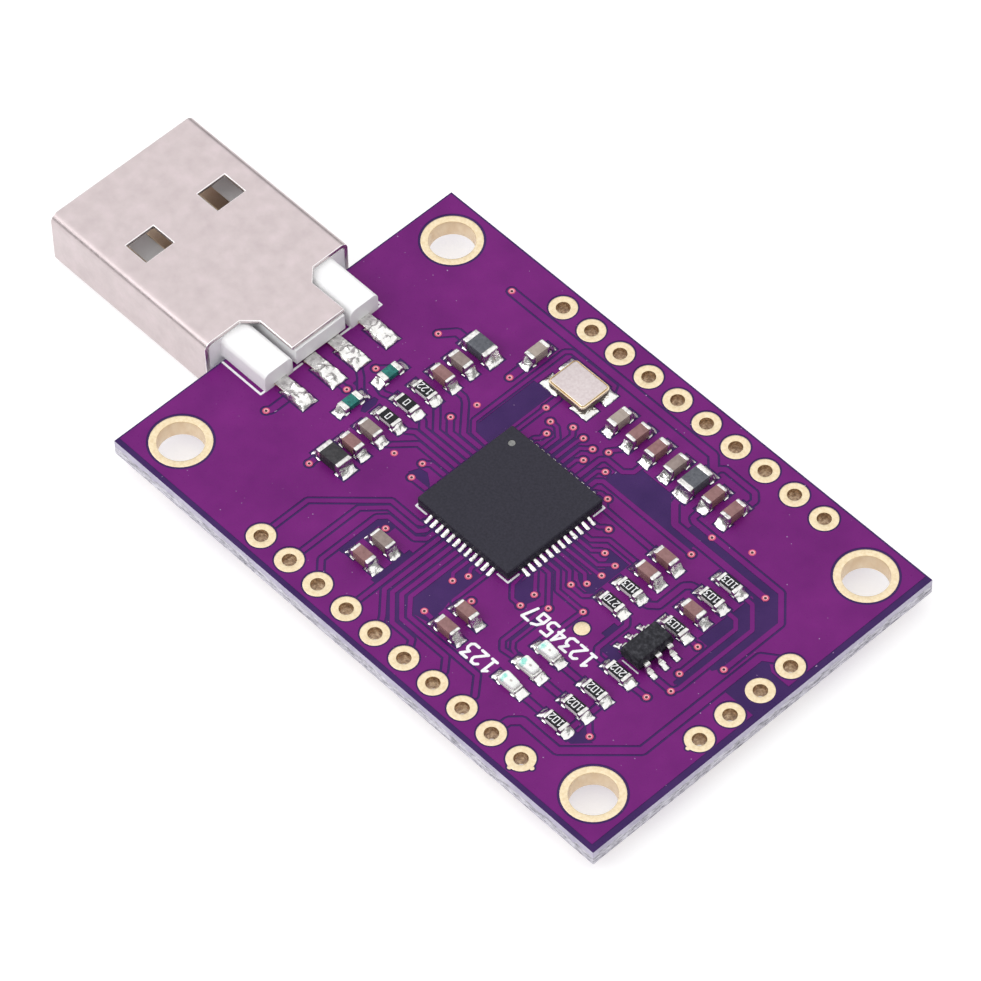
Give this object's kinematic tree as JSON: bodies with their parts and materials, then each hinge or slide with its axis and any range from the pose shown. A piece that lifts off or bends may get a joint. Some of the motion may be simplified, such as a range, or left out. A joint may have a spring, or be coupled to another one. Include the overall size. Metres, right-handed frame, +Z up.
{
  "type": "usb to serial adapter module",
  "caption": "Bare circuit board that turns a USB port into serial lines, with a metal USB plug on one short edge, screw holes at the corners and rows of plated holes for pin headers.",
  "frame": {"origin": "centre of the four mounting holes, on the underside of the board", "axes": "+X along the board from the plug to the end row of holes, +Y across the board, +Z up out of the side that carries the chips"},
  "size_m": [0.0572, 0.0284, 0.0045],
  "materials": {
    "solder_mask": "purple solder mask over glass epoxy, satin gloss",
    "gold_plating": "pale gold plating, satin",
    "nickel_sheet": "nickel plated sheet, satin with faint mottling",
    "white_plastic": "white moulded plastic, slightly waxy",
    "mould_compound": "charcoal moulding compound, fine grain",
    "tinned_metal": "tin plated metal",
    "solder": "bright reflowed solder",
    "tray_ceramic": "matt fired ceramic",
    "lid_metal": "plated lid, satin",
    "capacitor_ceramic": "brown fired ceramic with tinned ends",
    "resistor_glaze": "black glaze on white ceramic with tinned ends",
    "ferrite": "dark ferrite with tinned ends",
    "teal_coat": "teal coated ceramic with tinned ends",
    "lamp_resin": "clear to milky lens resin"
  },
  "bodies": {
    "root": {"bead_1": "ferrite", "bead_2": "ferrite", "bead_3": "ferrite", "capacitor_01": "capacitor_ceramic", "capacitor_02": "capacitor_ceramic", "capacitor_03": "capacitor_ceramic", "capacitor_04": "capacitor_ceramic", "capacitor_05": "capacitor_ceramic", "capacitor_06": "capacitor_ceramic", "capacitor_07": "capacitor_ceramic", "capacitor_08": "capacitor_ceramic", "capacitor_09": "capacitor_ceramic", "capacitor_10": "capacitor_ceramic", "capacitor_11": "capacitor_ceramic", "capacitor_12": "capacitor_ceramic", "capacitor_13": "capacitor_ceramic", "capacitor_14": "capacitor_ceramic", "capacitor_15": "capacitor_ceramic", "capacitor_16": "capacitor_ceramic", "capacitor_17": "capacitor_ceramic", "capacitor_18": "capacitor_ceramic", "circuit_board": "solder_mask", "controller_case": "mould_compound", "controller_leads": "tinned_metal", "crystal_base": "tray_ceramic", "crystal_lid": "lid_metal", "lamp_1": "lamp_resin", "lamp_2": "lamp_resin", "lamp_3": "lamp_resin", "memory_case": "mould_compound", "memory_leads": "tinned_metal", "mounting_plating": "gold_plating", "resistor_01": "resistor_glaze", "resistor_02": "resistor_glaze", "resistor_03": "resistor_glaze", "resistor_04": "resistor_glaze", "resistor_05": "resistor_glaze", "resistor_06": "resistor_glaze", "resistor_07": "resistor_glaze", "resistor_08": "resistor_glaze", "resistor_09": "resistor_glaze", "resistor_10": "resistor_glaze", "resistor_11": "resistor_glaze", "resistor_12": "resistor_glaze", "solder_joints": "solder", "suppressor_1": "teal_coat", "suppressor_2": "teal_coat", "usb_contact_1": "gold_plating", "usb_contact_2": "gold_plating", "usb_contact_3": "gold_plating", "usb_contact_4": "gold_plating", "usb_insulator": "white_plastic", "usb_shell": "nickel_sheet"}
  },
  "joints": []
}
